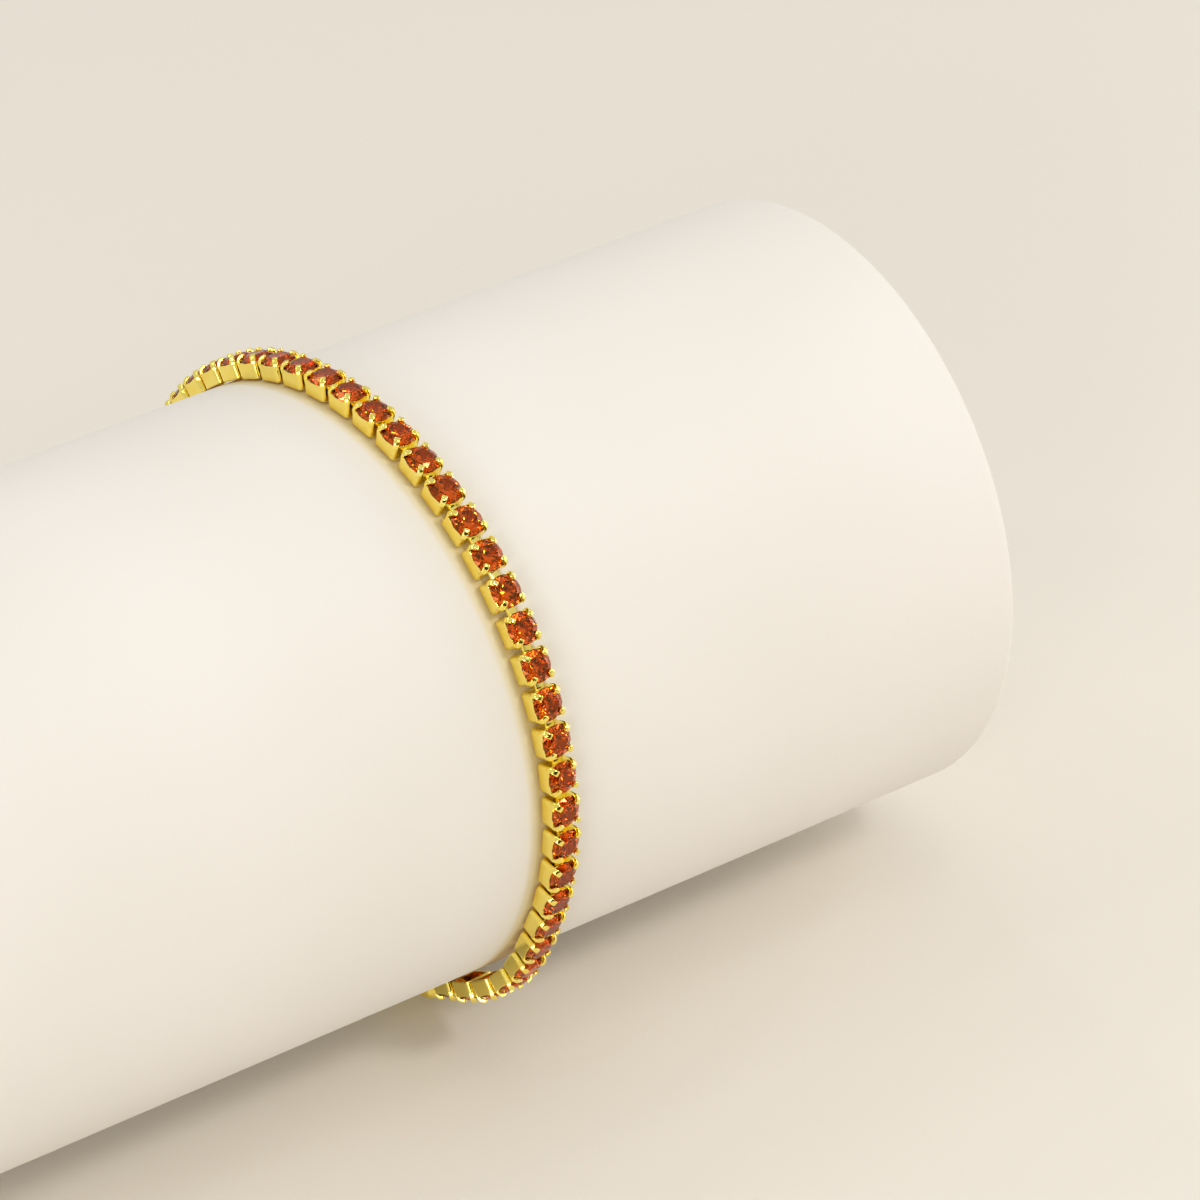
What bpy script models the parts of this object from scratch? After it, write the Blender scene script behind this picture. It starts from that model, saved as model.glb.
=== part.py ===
"""Tennis bracelet: round orange stones in square gold settings, laid in a loop round a display roll.

The roll lies along X. The bracelet's loop stands across it, a little askew, and passes under it.
Along the loop a link's own axes are X across the bracelet, Y along it and Z away from the roll.
"""

import math

import bmesh
import bpy
import numpy as np
from mathutils import Matrix, Vector

MM = 0.001
GOLD_SLOT = 0
STONE_SLOT = 1

# Display roll
ROLL_RADIUS = 26.9 * MM
ROLL_LENGTH = 112.0 * MM
ROLL_EDGE = 1.3 * MM
ROLL_SIDES = 64
ROLL_EDGE_STEPS = 2
SHARP_ANGLE = math.radians(40.0)

# Where the bracelet lies on the roll
FAR_END_DISTANCE = 50.5 * MM
ASKEW = math.radians(3.6)
CLEARANCE = 0.06 * MM

# Stone: a round brilliant, of which the crown stands out of its setting
STONE_DIAMETER = 2.85 * MM
TABLE_DIAMETER = 1.62 * MM
CROWN_HEIGHT = 0.45 * MM
TABLE_SIDES = 8
GIRDLE_SINK = 0.04 * MM

# Setting: a square cup with flat walls under the stone, hollow below, and a claw at each corner
STONE_OVERHANG = 0.08 * MM
CUP_SIDE = STONE_DIAMETER - 2 * STONE_OVERHANG
CUP_HEIGHT = 1.45 * MM
CUP_CORNER = 0.16 * MM
WALL = 0.35 * MM
SEAT = 0.55 * MM
CLAW_WIDTH = 0.42 * MM
CLAW_TIP_WIDTH = 0.36 * MM
CLAW_RISE = 0.62 * MM
CLAW_LEAN = 0.2 * MM
CLAW_ROOT = 0.35 * MM
CLAW_INSET = 0.1 * MM

# Chain: settings joined by short flat bars
STONE_GAP = 0.36 * MM
PITCH = STONE_DIAMETER + STONE_GAP
BAR_WIDTH = 1.0 * MM
BAR_THICKNESS = 0.55 * MM
BAR_BELOW_RIM = 0.6 * MM
BAR_HEIGHT = CUP_HEIGHT - BAR_BELOW_RIM
BAR_BITE = 0.12 * MM

# Clasp: a plain rounded box in the place of a few links
CLASP_LINKS = 3
CLASP_END_GAP = 0.36 * MM
CLASP_HEIGHT = 2.0 * MM
CLASP_ROUNDING = 0.55 * MM
CLASP_ROUNDING_STEPS = 3

# Loop: measured as angles about the roll's axis, 0 at the front and 90 degrees at the top
CLASP_ANGLE = math.radians(-75.0)
SLACK_ANGLE_FRONT = math.radians(-44.0)
SLACK_ANGLE_BACK = math.radians(-115.0)
SLACK_HALF_ANGLE_FRONT = math.radians(22.0)
SLACK_HALF_ANGLE_BACK = math.radians(23.0)
SLACK_SHARE_FRONT = 0.3
ROUTE_STEPS = 1440


def material(name, colour, roughness, metallic):
    """A plain Principled material, also shown in solid view."""
    made = bpy.data.materials.new(name)
    made.use_nodes = True
    shader = made.node_tree.nodes["Principled BSDF"]
    shader.inputs["Base Color"].default_value = (*colour, 1.0)
    shader.inputs["Roughness"].default_value = roughness
    shader.inputs["Metallic"].default_value = metallic
    made.diffuse_color = (*colour, 1.0)
    return made


def object_from(name, bm, materials):
    """Closes a bmesh into a named object with outward faces."""
    bmesh.ops.recalc_face_normals(bm, faces=bm.faces)
    mesh = bpy.data.meshes.new(name)
    bm.to_mesh(mesh)
    bm.free()
    for each in materials:
        mesh.materials.append(each)
    made = bpy.data.objects.new(name, mesh)
    bpy.context.scene.collection.objects.link(made)
    return made


def combine(target, tool, operation):
    """Applies one Boolean to the target's mesh and removes the tool."""
    modifier = target.modifiers.new("combine", "BOOLEAN")
    modifier.operation = operation
    modifier.solver = "EXACT"
    modifier.object = tool
    depsgraph = bpy.context.evaluated_depsgraph_get()
    result = bpy.data.meshes.new_from_object(target.evaluated_get(depsgraph))
    target.modifiers.clear()
    target.data = result
    bpy.data.objects.remove(tool)


def loft(bm, rings):
    """Joins rings of equally many points into a closed solid of gold with flat ends."""
    loops = [[bm.verts.new(point) for point in ring] for ring in rings]
    faces = [bm.faces.new(loops[0]), bm.faces.new(loops[-1])]
    for lower, upper in zip(loops, loops[1:]):
        for index in range(len(lower)):
            after = (index + 1) % len(lower)
            faces.append(bm.faces.new((lower[index], lower[after], upper[after], upper[index])))
    for face in faces:
        face.material_index = GOLD_SLOT


def rectangle(half_x, half_y, centre_x, centre_y, height):
    """Four corners of a level rectangle."""
    signs = ((-1, -1), (1, -1), (1, 1), (-1, 1))
    return [Vector((centre_x + sx * half_x, centre_y + sy * half_y, height)) for sx, sy in signs]


def cut_corner_rectangle(half_x, half_y, cut, height):
    """Eight points of a level rectangle whose corners are cut."""
    points = []
    for sx, sy in ((-1, -1), (1, -1), (1, 1), (-1, 1)):
        beside = Vector((sx * (half_x - cut), sy * half_y, height))
        before = Vector((sx * half_x, sy * (half_y - cut), height))
        points += [before, beside] if sx == sy else [beside, before]
    return points


def cup(materials):
    """The setting's square cup, with its hollow open towards the wrist."""
    bm = bmesh.new()
    outline = (CUP_SIDE / 2, CUP_SIDE / 2, CUP_CORNER)
    loft(bm, [cut_corner_rectangle(*outline, 0.0), cut_corner_rectangle(*outline, CUP_HEIGHT)])
    body = object_from("cup", bm, materials)
    bm = bmesh.new()
    inner = (CUP_SIDE / 2 - WALL, CUP_SIDE / 2 - WALL, 0.0, 0.0)
    loft(bm, [rectangle(*inner, -WALL), rectangle(*inner, CUP_HEIGHT - SEAT)])
    combine(body, object_from("hollow", bm, materials), "DIFFERENCE")
    return body


def crown(materials):
    """The stone from just under its girdle up to its flat table."""
    bm = bmesh.new()
    sides = 2 * TABLE_SIDES
    low = CUP_HEIGHT - GIRDLE_SINK
    turn = math.pi / TABLE_SIDES

    def ring(count, radius, height):
        steps = [2 * math.pi * index / count + turn for index in range(count)]
        return [bm.verts.new((radius * math.cos(a), radius * math.sin(a), height)) for a in steps]

    girdle = ring(sides, STONE_DIAMETER / 2, low)
    table = ring(TABLE_SIDES, TABLE_DIAMETER / 2, CUP_HEIGHT + CROWN_HEIGHT)
    faces = [bm.faces.new(girdle), bm.faces.new(table)]
    for index in range(TABLE_SIDES):
        near, far = table[index], table[(index + 1) % TABLE_SIDES]
        left, middle, right = (girdle[(2 * index + step) % sides] for step in range(3))
        faces.append(bm.faces.new((near, left, middle)))
        faces.append(bm.faces.new((near, middle, far)))
        faces.append(bm.faces.new((far, middle, right)))
    for face in faces:
        face.material_index = STONE_SLOT
    return object_from("crown", bm, materials)


def claws(materials):
    """Four flat claws that rise from the cup's corners and lean in over the stone."""
    bm = bmesh.new()
    root, tip = CLAW_WIDTH / 2, CLAW_TIP_WIDTH / 2
    low = CUP_SIDE / 2 - CLAW_INSET - root
    high = low - CLAW_LEAN
    for sx, sy in ((-1, -1), (1, -1), (1, 1), (-1, 1)):
        loft(bm, [rectangle(root, root, sx * low, sy * low, CUP_HEIGHT - CLAW_ROOT),
                  rectangle(tip, tip, sx * high, sy * high, CUP_HEIGHT + CLAW_RISE)])
    return object_from("claws", bm, materials)


def setting(materials):
    """One setting with its stone, fused into one solid."""
    body = cup(materials)
    combine(body, crown(materials), "UNION")
    combine(body, claws(materials), "UNION")
    return body


def slack(angle, centre, half_angle, length):
    """Bulge away from the roll that takes up a length of chain round an angle."""
    away = np.abs((angle - centre + math.pi) % (2 * math.pi) - math.pi) / half_angle
    return length / half_angle * np.where(away < 1.0, np.cos(away * math.pi / 2) ** 2, 0.0)


class Route:
    """The closed line through the bars, from the clasp's middle, as long as a whole number of links."""

    def __init__(self):
        roll_across = (ROLL_RADIUS + CUP_SIDE / 2 * math.sin(ASKEW)) / math.cos(ASKEW)
        tight = roll_across + CLEARANCE + BAR_HEIGHT
        self.links = int(2 * math.pi * tight / PITCH) + 1
        spare = self.links * PITCH - 2 * math.pi * tight
        angle = CLASP_ANGLE + np.linspace(0.0, 2 * math.pi, ROUTE_STEPS + 1)
        in_front = SLACK_SHARE_FRONT * spare
        radius = tight + slack(angle, SLACK_ANGLE_FRONT, SLACK_HALF_ANGLE_FRONT, in_front)
        radius += slack(angle, SLACK_ANGLE_BACK, SLACK_HALF_ANGLE_BACK, spare - in_front)
        self.y = -radius * np.cos(angle)
        self.z = radius * np.sin(angle)
        steps = np.hypot(np.diff(self.y), np.diff(self.z))
        self.way = np.concatenate([[0.0], np.cumsum(steps)])
        self.step = self.way[-1] / self.links

    def point(self, place):
        """Point of the line, its place counted in links from the start."""
        way = place * self.step % self.way[-1]
        return Vector((0.0, np.interp(way, self.way, self.y), np.interp(way, self.way, self.z)))

    def frame(self, place, reach):
        """Matrix of a piece that reaches some links to either side of its place."""
        along = (self.point(place + reach) - self.point(place - reach)).normalized()
        across = Vector((1.0, 0.0, 0.0))
        away = across.cross(along)
        origin = self.point(place) - away * BAR_HEIGHT
        columns = Matrix((across, along, away)).transposed().to_4x4()
        return Matrix.Translation(origin) @ columns


def repeat(name, piece, frames, materials):
    """Copies of a mesh at each frame, as one object of separate bodies."""
    bm = bmesh.new()
    for frame in frames:
        before = len(bm.verts)
        bm.from_mesh(piece)
        bm.verts.ensure_lookup_table()
        bmesh.ops.transform(bm, matrix=frame, verts=bm.verts[before:])
    return object_from(name, bm, materials)


def bar(materials):
    """The flat bar that joins one setting to the next."""
    bm = bmesh.new()
    half_length = (PITCH - CUP_SIDE) / 2 + BAR_BITE
    ends = (BAR_WIDTH / 2, half_length, 0.0, 0.0)
    low, high = BAR_HEIGHT - BAR_THICKNESS / 2, BAR_HEIGHT + BAR_THICKNESS / 2
    loft(bm, [rectangle(*ends, low), rectangle(*ends, high)])
    return object_from("bar", bm, materials)


def stone_row(name, route, first, count, unit, joint, materials):
    """A run of settings and the bars between them, fused into one solid."""
    places = [first + index + 0.5 for index in range(count)]
    row = repeat(name, unit, [route.frame(place, 0.5) for place in places], materials)
    joints = [route.frame(place + 0.5, 0.5) for place in places[:-1]]
    combine(row, repeat("bars", joint, joints, materials), "UNION")
    return row


def clasp(route, gold):
    """A closed box clasp, flat towards the roll and rounded on the outside."""
    bm = bmesh.new()
    length = CLASP_LINKS * PITCH - 2 * CLASP_END_GAP
    sides = (CUP_SIDE / 2, length / 2, 0.0, 0.0)
    loft(bm, [rectangle(*sides, 0.0), rectangle(*sides, CLASP_HEIGHT)])
    made = object_from("clasp", bm, [gold])
    rounding = made.modifiers.new("rounding", "BEVEL")
    rounding.width = CLASP_ROUNDING
    rounding.segments = CLASP_ROUNDING_STEPS
    made.matrix_local = route.frame(0.0, CLASP_LINKS / 2)
    return made


def display_roll(white):
    """The plain solid roll, its ends softly rounded."""
    bm = bmesh.new()
    bmesh.ops.create_cone(bm, cap_ends=True, segments=ROLL_SIDES, radius1=ROLL_RADIUS,
                          radius2=ROLL_RADIUS, depth=ROLL_LENGTH)
    bmesh.ops.rotate(bm, matrix=Matrix.Rotation(math.pi / 2, 3, "Y"), verts=bm.verts)
    made = object_from("display_roll", bm, [white])
    rounding = made.modifiers.new("rounding", "BEVEL")
    rounding.width = ROLL_EDGE
    rounding.segments = ROLL_EDGE_STEPS
    rounding.angle_limit = SHARP_ANGLE
    made.data.shade_smooth()
    made.data.set_sharp_from_angle(angle=SHARP_ANGLE)
    return made


def bounds(objects):
    """Lowest and highest world coordinates of the objects as they are shown."""
    depsgraph = bpy.context.evaluated_depsgraph_get()
    points = []
    for each in objects:
        shown = each.evaluated_get(depsgraph)
        points += [shown.matrix_world @ vertex.co for vertex in shown.data.vertices]
    points = np.array(points)
    return points.min(axis=0), points.max(axis=0)


def build():
    """Models the bracelet on its roll and stands it with its base centre at the origin."""
    for old in list(bpy.data.objects):
        bpy.data.objects.remove(old)
    gold = material("gold_plate", (0.86, 0.58, 0.16), 0.18, 1.0)
    orange = material("orange_stone", (0.78, 0.10, 0.015), 0.05, 0.0)
    white = material("white_roll", (0.86, 0.82, 0.76), 0.75, 0.0)
    both = [gold, orange]

    route = Route()
    unit = setting(both)
    joint = bar(both)
    stones = route.links - CLASP_LINKS
    up_front = stones // 2
    start = CLASP_LINKS / 2
    front = stone_row("stone_row_front", route, start, up_front, unit.data, joint.data, both)
    back = stone_row("stone_row_back", route, start + up_front, stones - up_front, unit.data, joint.data, both)
    bpy.data.objects.remove(unit)
    bpy.data.objects.remove(joint)
    box = clasp(route, gold)
    roll = display_roll(white)

    base = bpy.data.objects.new("base", None)
    loop = bpy.data.objects.new("loop", None)
    for empty in (base, loop):
        bpy.context.scene.collection.objects.link(empty)
    loop.parent = base
    loop.rotation_euler = (0.0, 0.0, ASKEW)
    loop.location = (ROLL_LENGTH / 2 - FAR_END_DISTANCE, 0.0, 0.0)
    roll.parent = base
    for piece in (front, back, box):
        piece.parent = loop
    bpy.context.view_layer.update()
    low, high = bounds((front, back, box, roll))
    base.location = (-(low[0] + high[0]) / 2, -(low[1] + high[1]) / 2, -low[2])
    bpy.context.view_layer.update()


build()
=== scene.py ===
"""Tennis bracelet of round orange stones in square gold settings, laid in a loop round a display roll.

The sections follow the way it is put together: the roll, the loop that the chain takes round it,
the cups, their claws, the bars between them, the stones and the clasp. The studio comes last.
"""

import math

import bmesh
import bpy
import numpy as np
from mathutils import Matrix, Vector


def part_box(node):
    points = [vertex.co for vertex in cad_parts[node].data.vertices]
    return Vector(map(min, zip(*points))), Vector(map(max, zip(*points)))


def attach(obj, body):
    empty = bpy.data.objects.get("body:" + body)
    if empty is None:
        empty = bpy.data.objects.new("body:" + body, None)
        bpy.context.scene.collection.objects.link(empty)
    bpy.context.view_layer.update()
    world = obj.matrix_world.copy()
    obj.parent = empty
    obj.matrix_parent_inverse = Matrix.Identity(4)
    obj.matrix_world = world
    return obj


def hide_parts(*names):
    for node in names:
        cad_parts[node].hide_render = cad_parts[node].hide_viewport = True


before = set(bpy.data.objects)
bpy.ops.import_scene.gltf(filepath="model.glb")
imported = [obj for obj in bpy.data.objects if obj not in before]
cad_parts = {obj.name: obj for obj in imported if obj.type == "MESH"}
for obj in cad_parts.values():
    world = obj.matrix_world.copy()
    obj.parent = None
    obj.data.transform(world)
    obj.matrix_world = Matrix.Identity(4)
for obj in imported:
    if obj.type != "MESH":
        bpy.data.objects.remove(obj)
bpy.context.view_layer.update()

# Display roll ---------------------------------------------------------------------------------
# A rigid foam core in a smooth, matte, warm white cover that is drawn tight and tucked over softly
# rounded ends. It is one surface turned about the roll's axis, at the solid roll's place and size.

MM = 0.001
ROLL_EDGE = 1.3 * MM
ROLL_STEPS_ROUND = 160
ROLL_STEPS_EDGE = 10
ROLL_STEPS_ALONG = 24
FACE_SHARES = np.array([0.0, 0.5, 0.9, 0.97])
FAR_END_DISTANCE = 50.5 * MM
ASKEW = math.radians(3.6)

roll_low, roll_high = (np.array(corner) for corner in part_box("display_roll"))
roll_middle = (roll_low + roll_high) / 2
half_length = (roll_high[0] - roll_low[0]) / 2
roll_radius = (roll_high[2] - roll_low[2]) / 2
# The bracelet's loop stands across the roll a little askew, at a known distance from its far end.
loop_turn = np.array(Matrix.Rotation(ASKEW, 3, "Z"))
loop_place = roll_middle + np.array([half_length - FAR_END_DISTANCE, 0.0, 0.0])


def grid_faces(rows, columns, closed_rows=False):
    """Quads of a grid whose columns close into a ring, and whose rows do where that is said."""
    row = np.arange(rows if closed_rows else rows - 1)[:, None]
    column = np.arange(columns)[None, :]
    after_row, after_column = (row + 1) % rows, (column + 1) % columns
    corners = [row * columns + column, row * columns + after_column,
               after_row * columns + after_column, after_row * columns + column]
    return np.stack(np.broadcast_arrays(*corners), axis=-1).reshape(-1, 4)


def make_piece(name, points, faces, finish, sharp_angle=None):
    """A mesh from arrays of points and faces, its poles merged and its faces turned outwards."""
    mesh = bpy.data.meshes.new(name)
    mesh.from_pydata(points.tolist(), [], faces.tolist())
    bm = bmesh.new()
    bm.from_mesh(mesh)
    bmesh.ops.remove_doubles(bm, verts=bm.verts, dist=1e-7)
    bmesh.ops.recalc_face_normals(bm, faces=bm.faces)
    bm.to_mesh(mesh)
    bm.free()
    if sharp_angle is not None:
        mesh.shade_smooth()
        mesh.set_sharp_from_angle(angle=math.radians(sharp_angle))
    mesh.materials.append(finish)
    piece = bpy.data.objects.new(name, mesh)
    bpy.context.scene.collection.objects.link(piece)
    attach(piece, "root")
    return piece


def linear(hex_colour):
    """sRGB hex to linear: a channel c is c / 12.92 up to 0.04045, and above that
    ((c + 0.055) / 1.055) ** 2.4."""
    channels = np.array([int(hex_colour[start:start + 2], 16) for start in (1, 3, 5)]) / 255
    straight = np.where(channels <= 0.04045, channels / 12.92, ((channels + 0.055) / 1.055) ** 2.4)
    return (*straight.tolist(), 1.0)


def add_node(tree, kind, values):
    """Adds a node. Each value goes to the input or property of that name, and a socket is linked."""
    node = tree.nodes.new(kind)
    for name, value in values.items():
        if isinstance(value, bpy.types.NodeSocket):
            tree.links.new(value, node.inputs[name])
        elif isinstance(name, int) or name in node.inputs:
            node.inputs[name].default_value = value
        else:
            setattr(node, name, value)
    return node


def new_finish(name):
    """An empty node material, its tree and its output node."""
    finish = bpy.data.materials.new(name)
    finish.use_nodes = True
    finish.node_tree.nodes.clear()
    output = finish.node_tree.nodes.new("ShaderNodeOutputMaterial")
    return finish, finish.node_tree, output


# Matte coated paper over foam: even, warm white, with no gloss but a very soft sheen. The faint
# grain of the coating is 0.35 mm wide, and the cover is a little uneven over some centimetres.
roll_paper, tree, output = new_finish("matte_coated_paper")
place = add_node(tree, "ShaderNodeTexCoord", {}).outputs["Object"]
grain = add_node(tree, "ShaderNodeTexNoise", {"Vector": place, "Scale": 1 / (0.35 * MM), "Detail": 2.0})
drift = add_node(tree, "ShaderNodeTexNoise", {"Vector": place, "Scale": 1 / (30 * MM), "Detail": 1.0})
tone = add_node(tree, "ShaderNodeValToRGB", {"Fac": drift.outputs["Fac"]})
tone.color_ramp.elements[0].position = 0.3
tone.color_ramp.elements[0].color = linear("#EBE6DD")
tone.color_ramp.elements[1].position = 0.7
tone.color_ramp.elements[1].color = linear("#F0EBE4")
relief = add_node(tree, "ShaderNodeBump", {"Height": grain.outputs["Fac"], "Strength": 0.12,
                                           "Distance": 0.02 * MM})
# Painted shadow and painted reflected light: a golden band is painted into the cover's colour beside the
# chain. It stands for the shade of the polished cups and the golden glow they throw on the cover. It is
# strongest close to their shaded side, which is told by the place along the loop's own axis.
PAINTED_SHADOW_REACH = 2.6 * MM
loop_axis = loop_turn[:, 0]
chain_offset = float(loop_axis @ loop_place)
offset = add_node(tree, "ShaderNodeVectorMath", {
    "operation": "DOT_PRODUCT", 0: place, 1: loop_axis.tolist()})
nearness = add_node(tree, "ShaderNodeMapRange", {
    "Value": offset.outputs["Value"], "From Min": chain_offset - PAINTED_SHADOW_REACH,
    "From Max": chain_offset + PAINTED_SHADOW_REACH})
painted_shadow_glow = add_node(tree, "ShaderNodeValToRGB", {"Fac": nearness.outputs["Result"]})
painted_shadow_glow.color_ramp.interpolation = "EASE"
painted_shadow_glow.color_ramp.elements[0].color = painted_shadow_glow.color_ramp.elements[1].color = linear("#FFFFFF")
painted_shadow_glow.color_ramp.elements[1].position = 0.8
# Colours of the painted golden shadow band, white where nothing is painted.
for position, colour in ((0.14, "#F8F0D6"), (0.24, "#EAD9A2"), (0.7, "#EAD9A2")):
    painted_shadow_glow.color_ramp.elements.new(position).color = linear(colour)
# The cover's own tone, darkened and warmed by the painted shadow and glow.
painted_shadow_tone = add_node(tree, "ShaderNodeVectorMath", {
    "operation": "MULTIPLY", 0: tone.outputs["Color"], 1: painted_shadow_glow.outputs["Color"]})
surface = add_node(tree, "ShaderNodeBsdfPrincipled", {
    "Base Color": painted_shadow_tone.outputs["Vector"], "Roughness": 0.62, "Specular IOR Level": 0.35,
    "Sheen Weight": 0.08, "Sheen Roughness": 0.5, "Normal": relief.outputs["Normal"]})
tree.links.new(surface.outputs["BSDF"], output.inputs["Surface"])

# The profile runs from the middle of one end, round its quarter-circle edge and along the side,
# to the middle of the other end: (distance along the axis, distance from it).
bend = np.linspace(0.0, math.pi / 2, ROLL_STEPS_EDGE)
edge_along = half_length - ROLL_EDGE * (1 - np.cos(bend))
edge_out = roll_radius - ROLL_EDGE * (1 - np.sin(bend))
face_out = FACE_SHARES * (roll_radius - ROLL_EDGE)
side_along = np.linspace(edge_along[-1], -edge_along[-1], ROLL_STEPS_ALONG)[1:-1]
profile_along = np.concatenate([np.full(face_out.size, half_length), edge_along, side_along,
                                -edge_along[::-1], np.full(face_out.size, -half_length)])
profile_out = np.concatenate([face_out, edge_out, np.full(side_along.size, roll_radius),
                              edge_out[::-1], face_out[::-1]])
round_angle = np.linspace(0.0, 2 * math.pi, ROLL_STEPS_ROUND, endpoint=False)
roll_points = np.stack(np.broadcast_arrays(
    profile_along[:, None],
    profile_out[:, None] * np.cos(round_angle),
    profile_out[:, None] * np.sin(round_angle)), axis=-1).reshape(-1, 3) + roll_middle
roll_cover = make_piece("roll_cover", roll_points, grid_faces(profile_along.size, ROLL_STEPS_ROUND),
                        roll_paper, sharp_angle=40)
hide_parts("display_roll")

# The loop --------------------------------------------------------------------------------------
# The chain lies tight over the top of the roll and hangs slack below it, where the roll stands on
# it. Its bars follow a closed line a whole number of links long, in a plane a little askew.

STONE_DIAMETER = 2.85 * MM
CUP_SIDE = STONE_DIAMETER - 2 * 0.08 * MM
CUP_HEIGHT = 1.45 * MM
BAR_HEIGHT = CUP_HEIGHT - 0.6 * MM
PITCH = STONE_DIAMETER + 0.36 * MM
SOLID_ROLL_RADIUS = 26.9 * MM
CLEARANCE = 0.06 * MM
CLASP_LINKS = 3
CLASP_ANGLE = math.radians(-75.0)
# Each slack part's middle, its reach to either side, and its share of the spare length.
SLACK = ((math.radians(-44.0), math.radians(22.0), 0.3), (math.radians(-115.0), math.radians(23.0), 0.7))
ROUTE_STEPS = 1440

# The tight part is a circle. A bulge of one wave of a squared cosine stands out from it at each slack
# part, and together they take up the length by which a whole number of links is longer.
tight = (SOLID_ROLL_RADIUS + CUP_SIDE / 2 * math.sin(ASKEW)) / math.cos(ASKEW) + CLEARANCE + BAR_HEIGHT
link_count = int(2 * math.pi * tight / PITCH) + 1
spare = link_count * PITCH - 2 * math.pi * tight
angle = CLASP_ANGLE + np.linspace(0.0, 2 * math.pi, ROUTE_STEPS + 1)
radius = np.full(angle.size, tight)
for centre, half_angle, part in SLACK:
    away = np.abs((angle - centre + math.pi) % (2 * math.pi) - math.pi) / half_angle
    radius += part * spare / half_angle * np.where(away < 1.0, np.cos(away * math.pi / 2) ** 2, 0.0)
route_y, route_z = -radius * np.cos(angle), radius * np.sin(angle)
route_way = np.concatenate([[0.0], np.cumsum(np.hypot(np.diff(route_y), np.diff(route_z)))])


def route_points(places):
    """Points of the line at places counted in links from the clasp's middle, read off by length."""
    way = places * route_way[-1] / link_count % route_way[-1]
    return np.stack([np.zeros(way.size), np.interp(way, route_way, route_y),
                     np.interp(way, route_way, route_z)], axis=-1)


def link_matrices(places, reach):
    """One 3 x 4 matrix a place. Its columns are the link's own axes, across the bracelet, along the
    chord that reaches some links to either side, and away from the roll, and then the cup's base."""
    along = route_points(places + reach) - route_points(places - reach)
    along /= np.linalg.norm(along, axis=1, keepdims=True)
    across = np.broadcast_to([1.0, 0.0, 0.0], along.shape)
    away = np.cross(across, along)
    base = route_points(places) - away * BAR_HEIGHT
    axes = loop_turn @ np.stack([across, along, away], axis=-1)
    return np.concatenate([axes, (base @ loop_turn.T + loop_place)[:, :, None]], axis=-1)


def repeat(points, faces, matrices):
    """A shape's points and faces, once for each matrix."""
    placed = np.einsum("nij,vj->nvi", matrices[:, :, :3], points) + matrices[:, None, :, 3]
    copies = faces[None] + (np.arange(len(matrices)) * len(points))[:, None, None]
    return placed.reshape(-1, 3), copies.reshape(-1, faces.shape[1])


stone_count = link_count - CLASP_LINKS
front_count = stone_count // 2
stone_places = CLASP_LINKS / 2 + 0.5 + np.arange(stone_count)
runs = (("front", stone_places[:front_count]), ("back", stone_places[front_count:]))

# Cups ------------------------------------------------------------------------------------------
# Each stone sits in a square cup of polished, lemon gold plated metal: flat walls with rounded
# corners, open below, the upper edge dipped between the claws and bevelled inside as the seat.

WALL = 0.3 * MM
CUP_CORNER = 0.36 * MM
INNER_CORNER = 0.1 * MM
EDGE_DIP = 0.05 * MM
SEAT_DEPTH = 0.34 * MM
EDGE_ROUNDING = 0.05 * MM


def rounded_outline(half_x, half_y, radius, side_steps=5, arc_steps=5):
    """Points of a rectangle with rounded corners: each corner's quarter circle, then the straight
    side after it, whose points crowd towards its ends. Returns them and how far each is from its
    side's middle, 0 there and 1 at the corner."""
    turn = np.linspace(0.0, math.pi / 2, arc_steps)
    step = (1 - np.cos(np.linspace(0.0, math.pi, side_steps + 2)[1:-1])) / 2
    points, reach = [], []
    for quarter in range(4):
        half = np.array([half_y, half_x] if quarter % 2 else [half_x, half_y])
        arc = half - radius + radius * np.stack([np.cos(turn), np.sin(turn)], axis=-1)
        side = arc[-1] + (arc[-1] * [-1, 1] - arc[-1]) * step[:, None]
        c, s = round(math.cos(quarter * math.pi / 2)), round(math.sin(quarter * math.pi / 2))
        points.append(np.concatenate([arc, side]) @ np.array([[c, s], [-s, c]]))
        reach.append(np.concatenate([np.ones(arc_steps), np.abs(2 * step - 1)]))
    return np.concatenate(points), np.concatenate(reach)


outer, reach = rounded_outline(CUP_SIDE / 2, CUP_SIDE / 2, CUP_CORNER)
inner, _ = rounded_outline(CUP_SIDE / 2 - WALL, CUP_SIDE / 2 - WALL, INNER_CORNER)
rim = CUP_HEIGHT - EDGE_DIP * (1 - reach ** 2)
soft = EDGE_ROUNDING / WALL
base = np.zeros(rim.size)
# The wall's section, as (share of the way through the wall, height): up the outside, over the
# rounded edge, down the seat and the inside, and back under the lower edge.
section = [(0.0, base + 3 * EDGE_ROUNDING), (0.0, rim - 3 * EDGE_ROUNDING), (0.0, rim - EDGE_ROUNDING),
           (0.3 * soft, rim - 0.3 * EDGE_ROUNDING), (soft, rim), (2 * soft, rim - 0.2 * EDGE_ROUNDING),
           (1.0 - soft, rim - SEAT_DEPTH), (1.0, rim - SEAT_DEPTH - EDGE_ROUNDING),
           (1.0, rim - SEAT_DEPTH - 3 * EDGE_ROUNDING), (1.0, base + 3 * EDGE_ROUNDING),
           (1.0, base + EDGE_ROUNDING), (1.0 - soft, base), (soft, base),
           (0.3 * soft, base + 0.3 * EDGE_ROUNDING), (0.0, base + EDGE_ROUNDING)]
cup_points = np.concatenate([
    np.concatenate([outer + (inner - outer) * share, height[:, None]], axis=1)
    for share, height in section])
cup_faces = grid_faces(len(section), len(outer), closed_rows=True)

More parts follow.
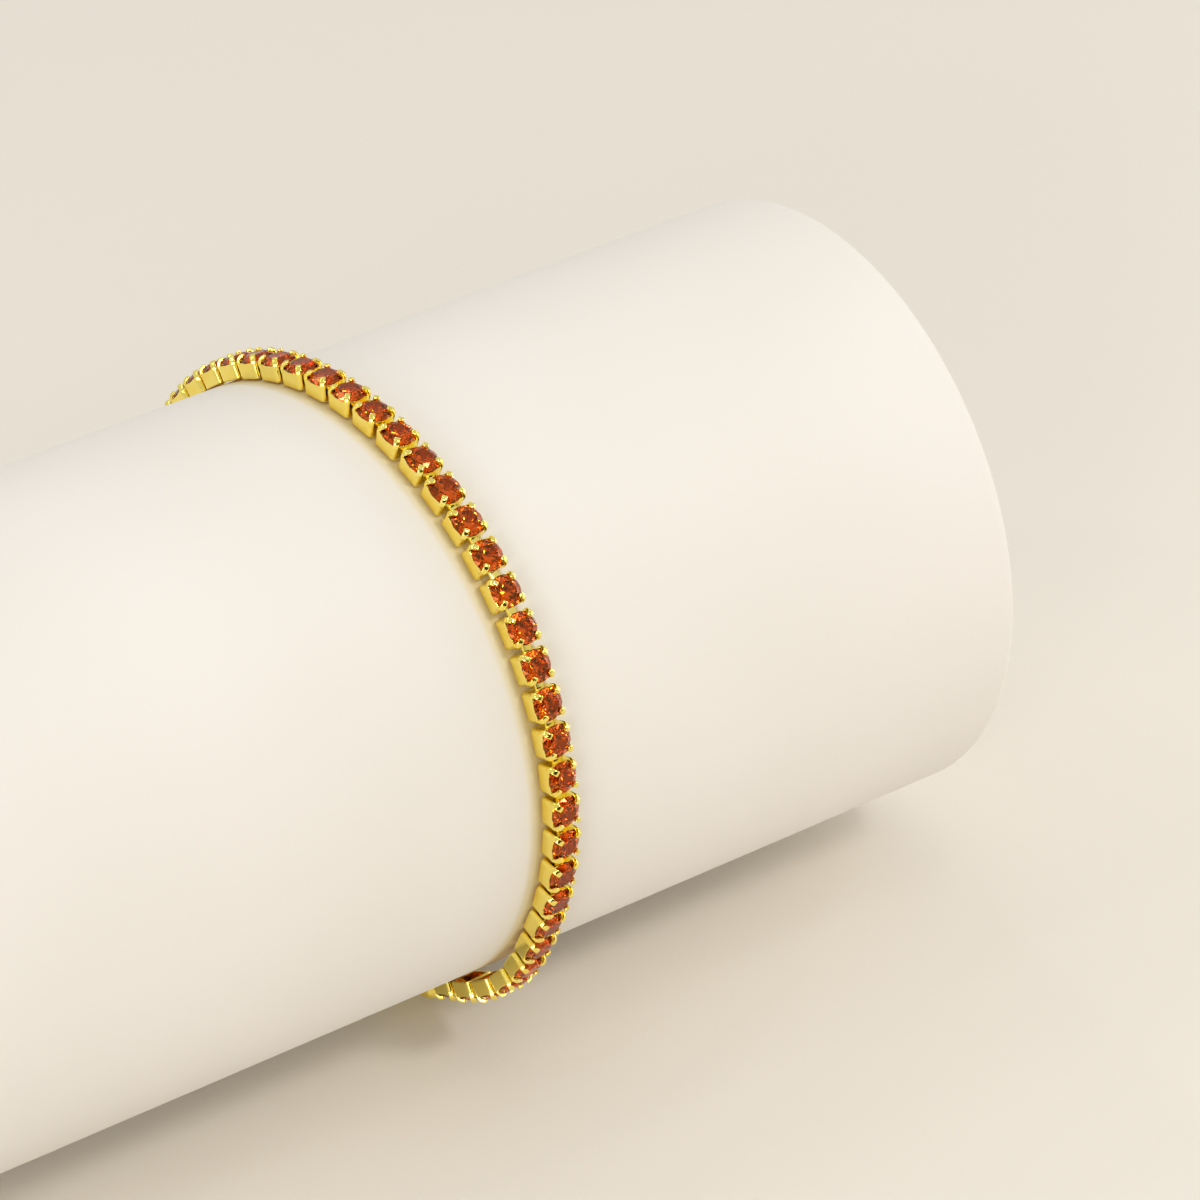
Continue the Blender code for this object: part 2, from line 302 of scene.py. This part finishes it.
# Lemon gold plating over brass, tumbled and polished: mirror-like, softened by fine polishing
# marks. The plating is a shade redder in patches 2.5 mm wide, and its marks are 0.2 mm wide.
gold, tree, output = new_finish("polished_lemon_gold_plate")
place = add_node(tree, "ShaderNodeTexCoord", {}).outputs["Object"]
patches = add_node(tree, "ShaderNodeTexNoise", {"Vector": place, "Scale": 1 / (2.5 * MM), "Detail": 2.0})
tone = add_node(tree, "ShaderNodeValToRGB", {"Fac": patches.outputs["Fac"]})
tone.color_ramp.elements[0].position = 0.35
tone.color_ramp.elements[0].color = linear("#FFE66C")
tone.color_ramp.elements[1].position = 0.65
tone.color_ramp.elements[1].color = linear("#FFEE82")
marks = add_node(tree, "ShaderNodeTexNoise", {"Vector": place, "Scale": 1 / (0.2 * MM), "Detail": 3.0})
gloss = add_node(tree, "ShaderNodeMapRange", {
    "Value": marks.outputs["Fac"], "From Min": 0.3, "From Max": 0.7, "To Min": 0.07, "To Max": 0.14})
relief = add_node(tree, "ShaderNodeBump", {"Height": marks.outputs["Fac"], "Strength": 0.15,
                                           "Distance": 0.006 * MM})
surface = add_node(tree, "ShaderNodeBsdfPrincipled", {
    "Base Color": tone.outputs["Color"], "Metallic": 1.0, "Roughness": gloss.outputs["Result"],
    "Normal": relief.outputs["Normal"]})
tree.links.new(surface.outputs["BSDF"], output.inputs["Surface"])

for run, places in runs:
    links = repeat(cup_points, cup_faces, link_matrices(places, 0.5))
    cups = make_piece(f"cups_{run}", *links, gold, sharp_angle=38)
    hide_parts(f"stone_row_{run}")

# Claws -----------------------------------------------------------------------------------------
# Four flat wires, soldered into the cup's corners, rise past the stone's edge and are bent in over
# its crown, where their filed round tips press it down.

CLAW_WIDTH = 0.48 * MM
CLAW_THICKNESS = 0.3 * MM
CLAW_STEPS_ROUND = 24
TIP_LENGTH = 0.12


def superellipse(steps, power):
    """Points of the curve |x|^power + |y|^power = 1 at even angles about its middle."""
    turn = (np.arange(steps) + 0.5) * 2 * math.pi / steps
    way = np.stack([np.cos(turn), np.sin(turn)], axis=-1)
    return way / (np.abs(way) ** power).sum(axis=1, keepdims=True) ** (1 / power)


def sweep(path, side, sections):
    """A bar along a path, square to which stands one section a point, as (sideways, up)."""
    forward = np.gradient(path, axis=0)
    forward /= np.linalg.norm(forward, axis=1, keepdims=True)
    up = np.cross(forward, side)
    points = path[:, None] + sections[:, :, :1] * side + sections[:, :, 1:] * up[:, None]
    return points.reshape(-1, 3), grid_faces(len(path), sections.shape[1])


# The path runs in the cup's diagonal plane, as (distance from the stone's axis, height over the rim) in
# mm: a root that comes out of the corner, a bend inwards as a quadratic curve with one control point,
# and the round tip, where the sections shrink as an angle's cosine and the path goes on as its sine.
claw_root = np.array([[1.52, -0.80], [1.52, -0.79], [1.58, -0.40], [1.62, -0.15]])
start, control, finish_at = np.array([1.63, 0.0]), np.array([1.56, 0.45]), np.array([1.12, 0.46])
share = np.linspace(0.0, 1.0, 9)[:, None]
claw_bend = (1 - share) ** 2 * start + 2 * share * (1 - share) * control + share ** 2 * finish_at
tip_turn = np.linspace(0.0, math.pi / 2, 6)[1:]
tip_way = (finish_at - control) / np.linalg.norm(finish_at - control)
claw_tip = finish_at + TIP_LENGTH * np.sin(tip_turn)[:, None] * tip_way
lean = np.concatenate([claw_root, claw_bend, claw_tip]) * MM
claw_scale = np.concatenate([[0.0], np.ones(len(lean) - tip_turn.size - 1), np.cos(tip_turn)])
outline = superellipse(CLAW_STEPS_ROUND, 6) * np.array([CLAW_WIDTH, CLAW_THICKNESS]) / 2
diagonal = np.array([1.0, 1.0, 0.0]) / math.sqrt(2)
claw_path = lean[:, :1] * diagonal + (lean[:, 1:] + CUP_HEIGHT) * [0.0, 0.0, 1.0]
claw_side = np.array([1.0, -1.0, 0.0]) / math.sqrt(2)
claw_points, claw_faces = sweep(claw_path, claw_side, claw_scale[:, None, None] * outline)
quarter_turns = np.array([np.array(Matrix.Rotation(math.pi / 2 * quarter, 3, "Z").to_4x4())[:3]
                          for quarter in range(4)])
claw_points, claw_faces = repeat(claw_points, claw_faces, quarter_turns)
for run, places in runs:
    links = repeat(claw_points, claw_faces, link_matrices(places, 0.5))
    claws = make_piece(f"claws_{run}", *links, gold, sharp_angle=40)

# Bars ------------------------------------------------------------------------------------------
# A short flat link joins each cup to the next at half height, its ends let into the cups' walls.
# One more joins the clasp to the stones at each of its ends.

BAR_LENGTH = 1.0 * MM
BAR_WIDTH = 0.85 * MM
BAR_THICKNESS = 0.45 * MM
BAR_STEPS_ROUND = 12

# Its flat ends are a section that has shrunk to a point just past the last full one.
bar_along = np.array([-0.5, -0.49, 0.49, 0.5]) * BAR_LENGTH
bar_path = bar_along[:, None] * [0.0, 1.0, 0.0] + [0.0, 0.0, BAR_HEIGHT]
bar_scale = np.array([0.0, 1.0, 1.0, 0.0])
outline = superellipse(BAR_STEPS_ROUND, 5) * np.array([BAR_WIDTH, BAR_THICKNESS]) / 2
bar_points, bar_faces = sweep(bar_path, np.array([1.0, 0.0, 0.0]), bar_scale[:, None, None] * outline)
for run, places in runs:
    ahead = places + 0.5 if run == "back" else np.concatenate([[places[0] - 0.5], places + 0.5])
    links = repeat(bar_points, bar_faces, link_matrices(ahead, 0.5))
    bars = make_piece(f"bars_{run}", *links, gold, sharp_angle=40)

# Stones ----------------------------------------------------------------------------------------
# Round brilliants of orange cubic zirconia: a flat table, 32 more facets on the crown and 24 below
# a thin girdle, cut and polished. Each lies turned a little differently in its cup.

TABLE_SHARE = 0.57
CROWN_HEIGHT = 0.45 * MM
GIRDLE_THICKNESS = 0.06 * MM
GIRDLE_BASE = CUP_HEIGHT - 0.04 * MM
PAVILION_DEPTH = 1.2 * MM
STAR_SHARE = 0.55
LOWER_SHARE = 0.78
GOLDEN_ANGLE = math.radians(137.5)

stone_radius = STONE_DIAMETER / 2
table_radius = TABLE_SHARE * stone_radius
girdle_top = GIRDLE_BASE + GIRDLE_THICKNESS
table_height = CUP_HEIGHT + CROWN_HEIGHT
eighth = math.pi / 4
# A point on an eighth's middle line lies in the plane of the main facets on both sides of it. Such a
# plane falls from the table (or the culet) to the girdle at an even slope along its own middle.
crown_slope = (table_height - girdle_top) / (stone_radius - table_radius)
star_radius = table_radius + STAR_SHARE * (stone_radius - table_radius)
star_height = table_height - crown_slope * (star_radius * math.cos(eighth / 2) - table_radius)
lower_radius = (1 - LOWER_SHARE) * stone_radius
culet_height = GIRDLE_BASE - PAVILION_DEPTH
lower_height = culet_height + PAVILION_DEPTH / stone_radius * lower_radius * math.cos(eighth / 2)


def ring(count, distance, height, offset=0.0):
    """Points of a level regular polygon about the stone's axis."""
    turn = 2 * math.pi * np.arange(count) / count + offset
    return np.stack([distance * np.cos(turn), distance * np.sin(turn), np.full(count, height)], axis=-1)


# Rings in order: table 0-7, star tips 8-15, girdle's upper edge 16-31 and lower edge 32-47, lower
# tips 48-55, then the table's middle 56 and the culet 57.
stone_points = np.concatenate([
    ring(8, table_radius, table_height), ring(8, star_radius, star_height, eighth / 2),
    ring(16, stone_radius, girdle_top), ring(16, stone_radius, GIRDLE_BASE),
    ring(8, lower_radius, lower_height, eighth / 2), [[0, 0, table_height], [0, 0, culet_height]]])
k = np.arange(8)
after = (k + 1) % 8
table, star, low = k, 8 + k, 48 + k
middle, culet = np.full(8, 56), np.full(8, 57)
upper = 16 + np.stack([2 * k, 2 * k + 1, (2 * k + 2) % 16])
under = upper + 16
side = np.arange(16)
side_after = (side + 1) % 16
stone_faces = np.concatenate([np.stack(corners, axis=-1) for corners in (
    (middle, table, after), (table, star, after), (table, upper[0], star), (after, star, upper[2]),
    (star, upper[0], upper[1]), (star, upper[1], upper[2]),
    (16 + side, 32 + side, 16 + side_after), (16 + side_after, 32 + side, 32 + side_after),
    (low, under[1], under[0]), (low, under[2], under[1]),
    (culet, low, under[0]), (culet, under[2], low))])

# Orange cubic zirconia: clear all through, of refractive index 2.15, its facets sharp and polished
# bright. The colour is in the body, so that a short way through it looks yellow and a long one red.
zirconia, tree, output = new_finish("orange_cubic_zirconia")
surface = add_node(tree, "ShaderNodeBsdfPrincipled", {
    "Base Color": linear("#FFA646"), "Roughness": 0.0, "IOR": 2.15, "Transmission Weight": 1.0,
    "Specular Tint": linear("#FF9E5C")})
body = add_node(tree, "ShaderNodeVolumeAbsorption", {"Color": (0.99, 0.57, 0.13, 1.0), "Density": 850.0})
tree.links.new(surface.outputs["BSDF"], output.inputs["Surface"])
tree.links.new(body.outputs["Volume"], output.inputs["Volume"])

for run, places in runs:
    own_turn = GOLDEN_ANGLE * np.arange(places.size)
    turns = np.array([np.array(Matrix.Rotation(turn, 3, "Z")) for turn in own_turn])
    matrices = link_matrices(places, 0.5)
    matrices[:, :, :3] = matrices[:, :, :3] @ turns
    make_piece(f"stones_{run}", *repeat(stone_points, stone_faces, matrices), zirconia)

# Clasp -----------------------------------------------------------------------------------------
# A box clasp of the same gold, flat towards the roll and rounded outside. Its tongue is pushed home,
# which leaves a fine seam round it, and a round button on its side lets it go.

CLASP_HEIGHT = 2.0 * MM
CLASP_ROUNDING = 0.55 * MM
CLASP_STEPS_END = 7
CLASP_GAP = 0.36 * MM
SEAM_AT = -2.6 * MM
SEAM = 0.06 * MM
BUTTON_FROM_END = 0.9 * MM
BUTTON_STEPS_ROUND = 24

# The box is a row of rounded rectangles along it, drawn in at its ends and a little at the seam.
clasp_half = CLASP_LINKS * PITCH / 2 - CLASP_GAP
bend = np.linspace(0.0, math.pi / 2, CLASP_STEPS_END)
end_inset = CLASP_ROUNDING * (1 - np.sin(bend))
end_along = -clasp_half + CLASP_ROUNDING * (1 - np.cos(bend))
seam_along = SEAM_AT + SEAM * np.array([-2.0, -1.0, -0.4, 0.4, 1.0, 2.0])
seam_inset = SEAM * np.array([0.0, 0.0, 1.2, 1.2, 0.0, 0.0])
along = np.concatenate([[-clasp_half], end_along, seam_along, -end_along[::-1], [clasp_half]])
inset = np.concatenate([[CLASP_ROUNDING], end_inset, seam_inset, end_inset[::-1], [CLASP_ROUNDING]])
ring_shape, _ = rounded_outline(CUP_SIDE / 2, CLASP_HEIGHT / 2, CLASP_ROUNDING)
rings = []
for place_along, place_inset in zip(along, inset):
    shrunk = ring_shape * (1 - place_inset / np.array([CUP_SIDE / 2, CLASP_HEIGHT / 2]))
    rings.append(np.column_stack([shrunk[:, 0], np.full(len(shrunk), place_along),
                                  shrunk[:, 1] + CLASP_HEIGHT / 2]))
for end in (0, -1):
    rings[end] = np.broadcast_to(rings[end].mean(axis=0), rings[end].shape)
clasp_matrix = link_matrices(np.zeros(1), CLASP_LINKS / 2)
shell = repeat(np.concatenate(rings), grid_faces(len(rings), len(ring_shape)), clasp_matrix)
clasp_body = make_piece("clasp_box", *shell, gold, sharp_angle=50)
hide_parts("clasp")

# The button is a disc with a rounded edge and a dimple, turned about the clasp's own crosswise axis. Its
# profile runs from the dimple's middle over the edge into the box: (distance from the axis, height over
# the box's side), in mm.
button_profile = np.array([[0.0, 0.05], [0.09, 0.055], [0.15, 0.13], [0.2, 0.17], [0.3, 0.18],
                           [0.38, 0.14], [0.42, 0.06], [0.42, -0.1], [0.0, -0.1]]) * MM
turn = np.linspace(0.0, 2 * math.pi, BUTTON_STEPS_ROUND, endpoint=False)
button_points = np.stack(np.broadcast_arrays(
    -CUP_SIDE / 2 - button_profile[:, 1:],
    clasp_half - BUTTON_FROM_END + button_profile[:, :1] * np.cos(turn),
    CLASP_HEIGHT / 2 + button_profile[:, :1] * np.sin(turn)), axis=-1).reshape(-1, 3)
shell = repeat(button_points, grid_faces(len(button_profile), turn.size), clasp_matrix)
button = make_piece("clasp_button", *shell, gold, sharp_angle=50)

# Studio ----------------------------------------------------------------------------------------
# A plain pale floor, soft lights round a pale room, the strongest high in front at the right, and a
# camera with a long lens, at the place from which the roll and the chain look as in the picture.

FLOOR_HALF = 3.0
bpy.ops.mesh.primitive_plane_add(size=2 * FLOOR_HALF, location=(0.0, 0.0, 0.0))
floor = bpy.context.object
floor.name = "floor"
cream, tree, output = new_finish("cream_studio_card")
surface = add_node(tree, "ShaderNodeBsdfPrincipled", {"Base Color": linear("#E8E2D7"), "Roughness": 0.6})
tree.links.new(surface.outputs["BSDF"], output.inputs["Surface"])
floor.data.materials.append(cream)

world = bpy.data.worlds.new("studio_room")
bpy.context.scene.world = world
world.use_nodes = True
tree = world.node_tree
tree.nodes.clear()
direction = add_node(tree, "ShaderNodeTexCoord", {}).outputs["Generated"]
# The room is pale all round, with one dark patch low down in front, which the claws reflect.
DARK_WAY = Vector((-0.12, -0.97, 0.14)).normalized()
facing = add_node(tree, "ShaderNodeVectorMath", {"operation": "DOT_PRODUCT", 0: direction, 1: DARK_WAY})
shade = add_node(tree, "ShaderNodeValToRGB", {"Fac": facing.outputs["Value"]})
shade.color_ramp.interpolation = "EASE"
shade.color_ramp.elements[0].position = 0.74
shade.color_ramp.elements[0].color = (1.0, 0.985, 0.965, 1.0)
shade.color_ramp.elements[1].position = 0.93
shade.color_ramp.elements[1].color = (0.05, 0.045, 0.04, 1.0)
walls = add_node(tree, "ShaderNodeBackground", {"Color": shade.outputs["Color"], "Strength": 0.69})
add_node(tree, "ShaderNodeOutputWorld", {"Surface": walls.outputs["Background"]})


def soft_light(name, place, aim, size, power, colour):
    """A square area light that faces the given point."""
    lamp = bpy.data.lights.new(name, "AREA")
    lamp.size = size
    lamp.energy = power
    lamp.color = colour
    light = bpy.data.objects.new(name, lamp)
    light.location = place
    light.rotation_euler = (Vector(aim) - Vector(place)).to_track_quat("-Z", "Y").to_euler()
    bpy.context.scene.collection.objects.link(light)


AIM = (0.0, 0.0, 30 * MM)
soft_light("key", (0.27, -0.6, 0.75), AIM, 0.15, 2.0, (1.0, 0.97, 0.93))
soft_light("top", (-0.36, 0.45, 0.86), AIM, 0.25, 0.55, (1.0, 0.98, 0.95))
soft_light("fill", (-0.76, -0.56, 0.27), AIM, 0.4, 2.3, (1.0, 0.98, 0.95))
soft_light("low", (0.45, -0.12, 0.12), (0.02, 0.0, 0.0), 0.25, 0.45, (1.0, 0.97, 0.92))
# Small bright spots, too weak to light much, that the facets and the claws throw back as sparkles.
SPARKLE_DISTANCE = 0.6
SPARKLES = ((-0.2, -0.75, 0.6), (0.05, -0.3, 0.95), (-0.6, 0.1, 0.8), (0.85, 0.1, 0.5),
            (-0.6, -0.6, 0.5), (0.2, 0.6, 0.75))
for number, way in enumerate(SPARKLES):
    soft_light(f"sparkle_{number}", Vector(way) * SPARKLE_DISTANCE, AIM, 0.03, 0.08, (1.0, 0.98, 0.95))

# The camera's place was found from the roll's outline and the stones' spacing in the picture.
AZIMUTH = math.radians(-35.618)
ELEVATION = math.radians(33.791)
DISTANCE = 573.0 * MM
FOCAL_LENGTH = 199.2
SHIFT = (0.02125, -0.003)
TARGET_FROM_LOOP = Vector((23.06, 0.0, -0.857)) * MM
target = Vector(loop_place) + TARGET_FROM_LOOP
back = Vector((math.sin(AZIMUTH) * math.cos(ELEVATION), -math.cos(AZIMUTH) * math.cos(ELEVATION),
               math.sin(ELEVATION)))
right = Vector((math.cos(AZIMUTH), math.sin(AZIMUTH), 0.0))
camera = bpy.data.objects.new("camera", bpy.data.cameras.new("camera"))
camera.data.sensor_width = 36.0
camera.data.lens = FOCAL_LENGTH
camera.data.shift_x, camera.data.shift_y = SHIFT
camera.data.clip_start = 0.01
camera.location = target + back * DISTANCE
camera.rotation_euler = Matrix((right, back.cross(right), back)).transposed().to_euler()
bpy.context.scene.collection.objects.link(camera)
bpy.context.scene.camera = camera
bpy.context.scene.view_settings.view_transform = "Standard"
